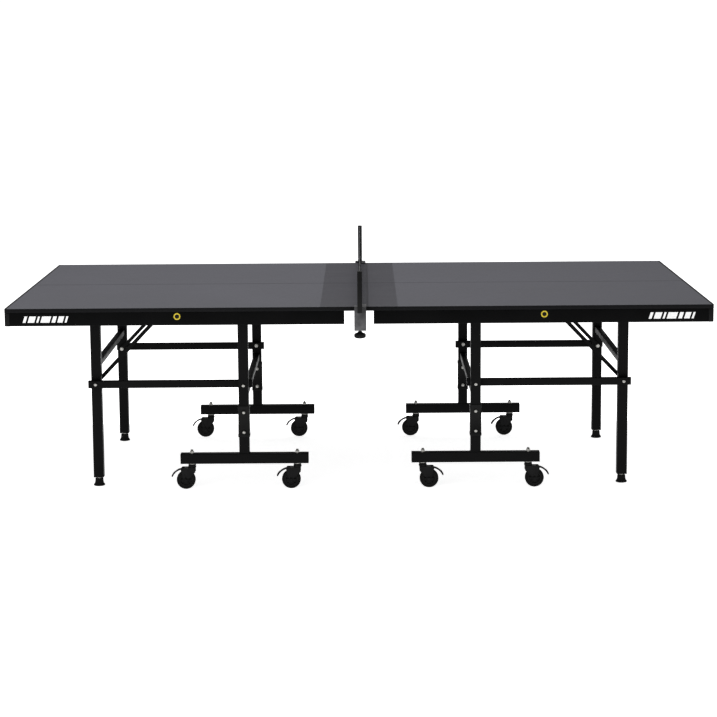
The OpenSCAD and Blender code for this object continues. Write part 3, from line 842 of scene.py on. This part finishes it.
def fork_trim_mesh(zinc):
    """Axle bolt and nut, the rivet of the pedal and the ball race over the crown, in the caster's own frame:
    the swivel stands on the origin and the wheel trails along +X."""
    trail, cheek = 0.025, 0.0165
    bm = bmesh.new()
    for way in (-1, 1):
        add_hex_head(bm, (trail, way * (cheek + 0.003), WHEEL_R), (0, way, 0), 0.0052, 0.0048)
        add_turned(bm, [(0, 0), (0.0040, 0), (0.0038, 0.0008), (0.0024, 0.0014), (0, 0.0016)],
                   (BRAKE_X, way * cheek, BRAKE_Z), (0, way, 0), 20)
    add_ring(bm, [(0.0128, 0.0871), (0.0152, 0.0872), (0.0160, 0.0885), (0.0160, 0.0925), (0.0152, 0.0942),
                  (0.0142, 0.0948), (0.0142, 0.0952), (0.0150, 0.0960), (0.0150, 0.0988), (0.0142, 0.0996),
                  (0.0128, 0.0996)], (0, 0, 0), UP, 48)
    return meshed("caster_trim", bm, zinc, 32)


def build_casters(mats):
    tread, core = tread_mesh(mats["rubber"]), core_mesh(mats["core"])
    pedal, trim = pedal_mesh(mats["plastic"]), fork_trim_mesh(mats["fork"])
    for side in SIDES:
        for row in ROWS:
            for k in PLACES:
                name = f"{side}_{row}_{k}"
                swivel = Vector(JOINTS[f"{name}_swivel"]["pos_m"])
                axle = Vector(JOINTS[f"{name}_roll"]["pos_m"])
                facing = Matrix.Rotation(0 if axle.x > swivel.x else math.pi, 4, "Z")
                stand = Matrix.Translation((swivel.x, swivel.y, 0)) @ facing
                rounded_node(f"{name}_fork", mats["fork"], 0.0006, 0.0065, 2)
                put(f"{name}_trim", trim, f"{name}_caster", (), stand)
                wheel_at = Matrix.Translation(axle)
                wheel = f"{name}_caster_wheel"
                put(f"{name}_tread", tread, wheel, (f"{name}_wheel",), wheel_at)
                put(f"{name}_core", core, wheel, (), wheel_at)
                put(f"{name}_pedal", pedal, f"{name}_caster_brake", (f"{name}_brake",),
                    stand @ Matrix.Translation((BRAKE_X, 0, BRAKE_Z)))


# ---------------------------------------------------------------- net set
NET_LOW, NET_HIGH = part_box("net")
NET_X = (NET_LOW.x + NET_HIGH.x) / 2
NET_TOP = NET_HIGH.z
NET_END = NET_HIGH.y
ARM_IN_Y = SIDE_Y - 0.040
SLEEVE_W = 0.019
MESH_PITCH = 0.010
YARN = 0.0011
TAPE_H = 0.016
TAPE_HALF = 0.0014
HEM_R = 0.0016
BOSS_Y = SIDE_Y + 0.0120
# The net's lower edge as (distance from the centre line, height): it steps over the arms and the bosses.
LOWER_EDGE = ((ARM_IN_Y - 0.004, TOP_Z + 0.0042), (BOSS_Y, TOP_Z + 0.0084), (NET_END, TOP_Z + 0.0245))


def lower_edge_z(y):
    return next(z for reach, z in LOWER_EDGE if abs(y) <= reach + 1e-6)


def sway(y, z):
    """How far the slack mesh stands off its plane, less towards the taut tape."""
    slack = min(1, (NET_TOP - z) / 0.12)
    return 0.0009 * slack * math.sin(y * 17 + 1.3) + 0.0005 * slack * math.sin(y * 41)


def net_threads(yarn):
    """The open mesh: a grid of real threads with square holes."""
    half = NET_END - SLEEVE_W + 0.002
    columns = 2 * round(half / MESH_PITCH)
    top, bottom = NET_TOP - TAPE_H + 0.002, LOWER_EDGE[0][1]
    rows = round((top - bottom) / MESH_PITCH)
    bm = bmesh.new()
    grid = []
    for i in range(columns + 1):
        y = -half + 2 * half * i / columns
        edge = lower_edge_z(y)
        heights = [max(edge, bottom + (top - bottom) * k / rows) for k in range(rows + 1)]
        grid.append([bm.verts.new((NET_X + sway(y, z), y, z)) for z in heights])
    for a, b in zip(grid, grid[1:]):
        for k in range(rows):
            if a[k + 1].co.z - a[k].co.z > 1e-4 and b[k + 1].co.z - b[k].co.z > 1e-4:
                bm.faces.new((a[k], b[k], b[k + 1], a[k + 1]))
    bmesh.ops.delete(bm, geom=[v for v in bm.verts if not v.link_faces], context="VERTS")
    cloth = put("net_threads", meshed("net_threads", bm, yarn), "net_set", ("net",))
    strands = cloth.modifiers.new("strands", "WIREFRAME")
    strands.thickness = YARN
    strands.use_even_offset = False
    bpy.context.view_layer.update()
    solid = bpy.data.meshes.new_from_object(cloth.evaluated_get(bpy.context.evaluated_depsgraph_get()))
    cloth.modifiers.clear()
    cloth.data = solid
    smoothed(cloth.data, 50)
    return cloth


def net_tape(tape):
    """The folded tape along the net's top edge, over its cord."""
    inside = TAPE_HALF - 0.0005
    rise = [math.radians(180 * k / 6) for k in range(7)]
    outer = [(TAPE_HALF * math.cos(a), TAPE_HALF * math.sin(a)) for a in rise]
    inner = [(inside * math.cos(a), inside * math.sin(a)) for a in reversed(rise)]
    drop = TAPE_H - TAPE_HALF
    outline = [(TAPE_HALF, -drop), *outer, (-TAPE_HALF, -drop), (-inside, -drop), *inner, (inside, -drop)]
    stations = 90
    bm = bmesh.new()
    loops = []
    for i in range(stations + 1):
        y = -NET_END + 2 * NET_END * i / stations
        sag = 0.0012 * (1 - (y / NET_END) ** 2)
        loops.append([bm.verts.new((NET_X + x, y, NET_TOP - TAPE_HALF - sag + z)) for x, z in outline])
    for a, b in zip(loops, loops[1:]):
        for k in range(len(outline)):
            n = (k + 1) % len(outline)
            bm.faces.new((a[k], a[n], b[n], b[k]))
    bm.faces.new(loops[0])
    bm.faces.new(loops[-1])
    return piece("net_top_tape", bm, tape, "net_set")


def net_stitches(thread):
    """A row of stitches along both faces of the tape."""
    stitch, gap = 0.0030, 0.0016
    count = int(2 * (NET_END - 0.004) / (stitch + gap))
    bm = bmesh.new()
    for i in range(count):
        y = -NET_END + 0.004 + i * (stitch + gap)
        sag = 0.0012 * (1 - (y / NET_END) ** 2)
        z = NET_TOP - TAPE_H + 0.0022 - sag
        for way in (-1, 1):
            face = NET_X + way * TAPE_HALF
            top = [bm.verts.new((face + way * 0.00028, y + stitch * t, z + h)) for t, h in
                   ((0.2, 0.00012), (0.8, 0.00012), (0.8, -0.00012), (0.2, -0.00012))]
            foot = [bm.verts.new((face - way * 0.0001, y + stitch * t, z + h)) for t, h in
                    ((0, 0.0003), (1, 0.0003), (1, -0.0003), (0, -0.0003))]
            bm.faces.new(top)
            bm.faces.new(foot)
            for k in range(4):
                n = (k + 1) % 4
                bm.faces.new((top[k], top[n], foot[n], foot[k]))
    return piece("net_stitching", bm, thread, "net_set")


def net_side_sleeves(tape):
    """Doubled bands at the net's ends, where it is held to the posts."""
    half, low_z, high_z = 0.0013, LOWER_EDGE[-1][1] - 0.002, NET_TOP - 0.004
    bm = bmesh.new()
    for e in ROWS.values():
        near_y, far_y = sorted((e * (NET_END - SLEEVE_W), e * (NET_END - 0.0002)))
        add_block(bm, (NET_X - half, near_y, low_z), (NET_X + half, far_y, high_z), 0.0008, 3)
    return piece("net_side_sleeves", bm, tape, "net_set")


def net_bottom_hem(tape):
    """The hem cord along the stepped lower edge."""
    right = []
    last = 0.0
    for reach, z in LOWER_EDGE:
        end = min(reach, NET_END - SLEEVE_W)
        count = max(2, round((end - last) / 0.02))
        right += [(last + (end - last) * k / count, z) for k in range(count + 1)]
        last = end + 0.0005
    line = [(-y, z) for y, z in reversed(right[1:])] + right
    bm = bmesh.new()
    add_tube(bm, [(NET_X + sway(y, z), y, z) for y, z in line], HEM_R, 10)
    return piece("net_bottom_hem", bm, tape, "net_set")


def clamp_screw(row, e, mats):
    """Knob with a scalloped rim, threaded screw, and the jaw with its rubber face."""
    node, body = f"net_{row}_jaw", f"{row}_clamp_jaw"
    low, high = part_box(node)
    knob_r = 0.0225
    screw_y = SIDE_Y + 0.0245
    z = low.z
    bm = bmesh.new()
    knob = [(0, 0.0008), (0.006, 0.0008), (0.0075, 0), (0.0140, 0), (knob_r - 0.0018, 0.0028),
            (knob_r, 0.0068), (knob_r, 0.0142), (knob_r - 0.002, 0.0178), (0.0120, 0.0212),
            (0.0088, 0.0230), (0.0080, 0.0268), (0, 0.0268)]
    add_turned(bm, knob, (NET_X, e * screw_y, z), UP, 96, 12, 0.0016)
    piece(f"{node}_knob", bm, mats["plastic"], body, (node,), 42)
    bm = bmesh.new()
    jaw_h = 0.009
    add_thread(bm, (NET_X, e * screw_y, z + 0.026), UP, 0.004, high.z - jaw_h - z - 0.026)
    piece(f"{node}_screw", bm, mats["zinc"], body)
    bm = bmesh.new()
    pad = 0.0012
    head = sorted((e * (screw_y - 0.012), e * (screw_y + 0.010)))
    arm = sorted((e * (SIDE_Y - 0.030), e * screw_y))
    add_block(bm, (low.x if low.x > NET_X - 0.011 else NET_X - 0.010, head[0], high.z - jaw_h),
              (high.x, head[1], high.z - 0.0001), 0.0012, 3)
    add_block(bm, (0.001, arm[0], high.z - 0.006), (high.x, arm[1], high.z - pad), 0.0012, 3)
    piece(f"{node}_lever", bm, mats["satin"], body)
    bm = bmesh.new()
    face = sorted((e * (SIDE_Y - 0.0295), e * (SIDE_Y - 0.0005)))
    add_block(bm, (0.0015, face[0], high.z - pad - 0.0004), (high.x - 0.0005, face[1], high.z), 0.0004, 2)
    piece(f"{node}_pad", bm, mats["rubber"], body)


def build_net(mats):
    threads = net_threads(mats["yarn"])
    tape = net_tape(mats["tape"])
    extras = [net_side_sleeves(mats["tape"]), net_bottom_hem(mats["tape"])]
    stitches = net_stitches(mats["yarn"])
    rounded_node("net_posts", mats["plastic"], 0.0010, 0.0004, 2)
    rounded_node("net_brackets", mats["satin"], 0.0011, 0.006, 2)
    for row, e in ROWS.items():
        clamp_screw(row, e, mats)


# ---------------------------------------------------------------- plain marks on the apron
def build_marks(side, s, mats):
    """A plain yellow ring round a dark disc near each upright, and slanted white bars near each outer end."""
    badge_x = 0.703 if s < 0 else 0.716
    bars_x = (-1.300, -1.122) if s < 0 else (1.118, 1.300)
    middle = (APRON_Z + UNDER_Z) / 2
    badge_z = middle + 0.0085
    slant, half, film, space = 0.008, 0.0125, 0.0004, 0.0075
    shares = (0.07, 0.16, 0.05, 0.22, 0.09, 0.13, 0.05)
    ring, disc, bars = bmesh.new(), bmesh.new(), bmesh.new()
    for e in ROWS.values():
        at = (s * badge_x, e * APRON_Y, badge_z)
        add_ring(ring, [(0.0082, 0), (0.0135, 0), (0.0135, 0.0004), (0.0129, 0.0008), (0.0088, 0.0008),
                        (0.0082, 0.0004)], at, (0, e, 0), 48)
        add_turned(disc, [(0, 0), (0.0081, 0), (0.0081, 0.0003), (0.0055, 0.0005), (0, 0.0007)],
                   at, (0, e, 0), 40)
        width = bars_x[1] - bars_x[0] - slant - space * (len(shares) - 1)
        low = bars_x[0]
        for share in shares:
            high = low + width * share / sum(shares)
            outline = [(low, -half), (high, -half), (high + slant, half), (low + slant, half)]
            add_plate(bars, outline, 0, film, lambda u, v, w: (u, e * (APRON_Y + w), middle + v))
            low = high + space
    piece(f"{side}_badge_rings", ring, mats["yellow"], f"{side}_top")
    piece(f"{side}_badge_discs", disc, mats["plastic"], f"{side}_top")
    piece(f"{side}_end_bars", bars, mats["white"], f"{side}_top")


add_camera()
add_studio()
add_floor()

MATS = {
    "board": board_paint(TOP_Z, END_X),
    "coat": powder_coat("black_powder_coat"),
    # The apron's coat is the legs' black powder coat made darker and duller, and its darker tone is painted shade.
    "apron": powder_coat("apron_coat_painted_shade", 0.0035, 0.0055, 0.46, 0.60, 0.05),
    "plastic": moulded_plastic("black_moulding"),
    "core": moulded_plastic("wheel_moulding", 0.016, 0.42),
    "rubber": black_rubber("black_rubber"),
    "zinc": zinc_plate(),
    "satin": satin_steel("satin_steel", 0.06, 0.13, 0.9),
    "fork": satin_steel("blackened_steel", 0.008, 0.016, 0.35),
    "tape": woven_tape(),
    "yarn": twisted_yarn(),
    "yellow": enamel("yellow_enamel", (0.50, 0.40, 0.02), (0.62, 0.50, 0.03)),
    "white": enamel("white_print", (0.80, 0.80, 0.80), (0.90, 0.90, 0.90), 0.5),
}
for name, sign in SIDES.items():
    build_frame(name, sign, MATS)
    build_marks(name, sign, MATS)
build_casters(MATS)
build_net(MATS)
